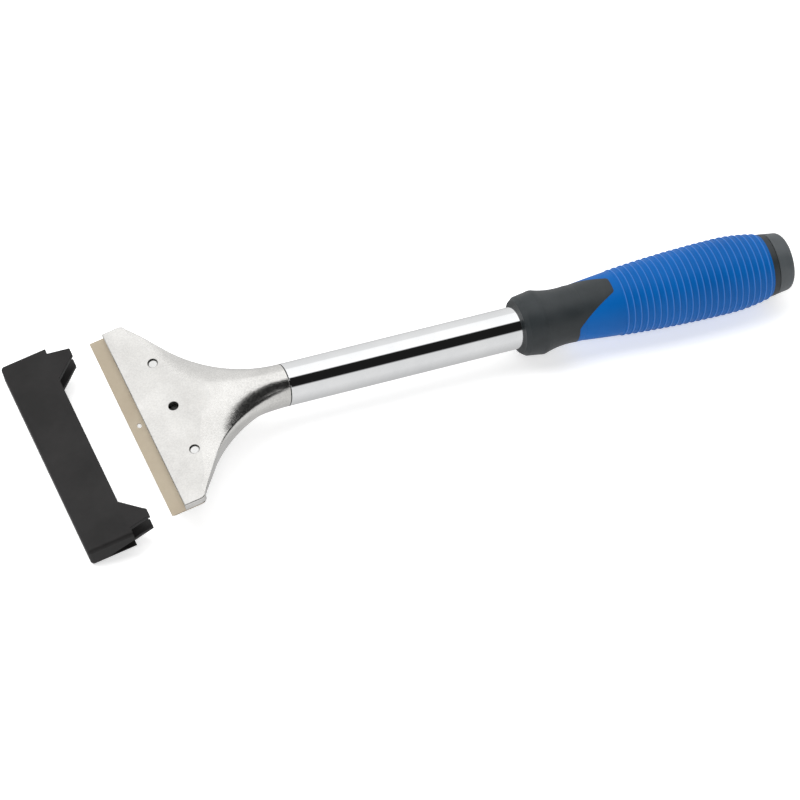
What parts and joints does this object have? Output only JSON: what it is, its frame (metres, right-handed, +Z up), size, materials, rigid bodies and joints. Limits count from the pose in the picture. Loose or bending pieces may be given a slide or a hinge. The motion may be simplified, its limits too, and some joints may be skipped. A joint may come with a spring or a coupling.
{
  "type": "floor scraper",
  "caption": "Hand floor scraper with a wide clamped blade in a cast head, a plated tube, a ribbed grip and a pull-off blade guard.",
  "frame": {"origin": "on the floor under the middle of the tool, halfway between the pulled-off guard's spine and the end cap", "axes": "+X from the blade towards the grip, +Y across along the blade, +Z up with the tool lying on its back, threaded holes upwards"},
  "size_m": [0.3533, 0.108, 0.0343],
  "materials": {
    "cast_aluminium": "tumbled die casting, satin and slightly grainy",
    "blade_steel": "oiled carbon steel with ground edges",
    "plated_steel": "zinc-plated pressed steel",
    "screw_steel": "bright zinc-plated screws",
    "chrome_tube": "bright chrome plating",
    "black_plastic": "fine-grained hard plastic",
    "blue_grip": "soft satin rubber with fine ribs",
    "guard_plastic": "moulded plastic, fine grain"
  },
  "bodies": {
    "head": {"head_casting": "cast_aluminium", "shaft_tube": "chrome_tube", "grip_core": "black_plastic", "grip_sleeve": "blue_grip", "end_cap": "black_plastic"},
    "clamp": {"clamp_plate": "plated_steel", "guide_pin": "plated_steel", "lock_washer_left": "plated_steel", "lock_washer_right": "plated_steel"},
    "screw_left": {"clamp_screw_left": "screw_steel"},
    "screw_right": {"clamp_screw_right": "screw_steel"},
    "blade": {"blade": "blade_steel"},
    "guard": {"blade_guard": "guard_plastic"}
  },
  "joints": [
    {"name": "clamp_release", "type": "slide", "parent": "head", "child": "clamp", "axis": [0.2706, 0, -0.9627], "range_m": [0, 0.0008]},
    {"name": "screw_left_turn", "type": "hinge", "parent": "clamp", "child": "screw_left", "pos_m": [-0.11601, 0.025, 0.01839], "axis": [0.2706, 0, -0.9627], "range_deg": [0, 361]},
    {"name": "screw_right_turn", "type": "hinge", "parent": "clamp", "child": "screw_right", "pos_m": [-0.11601, -0.025, 0.01839], "axis": [0.2706, 0, -0.9627], "range_deg": [0, 361]},
    {"name": "blade_slide", "type": "slide", "parent": "head", "child": "blade", "axis": [-0.9627, 0, -0.2706], "range_m": [0, 0.012]},
    {"name": "guard_slide", "type": "slide", "parent": "blade", "child": "guard", "axis": [0.9627, 0, 0.2706], "range_m": [0, 0.0352]}
  ],
  "couplings": [
    {"joint": "screw_left_turn", "follows": "clamp_release", "rad_per_m": 7854},
    {"joint": "screw_right_turn", "follows": "clamp_release", "rad_per_m": 7854}
  ]
}
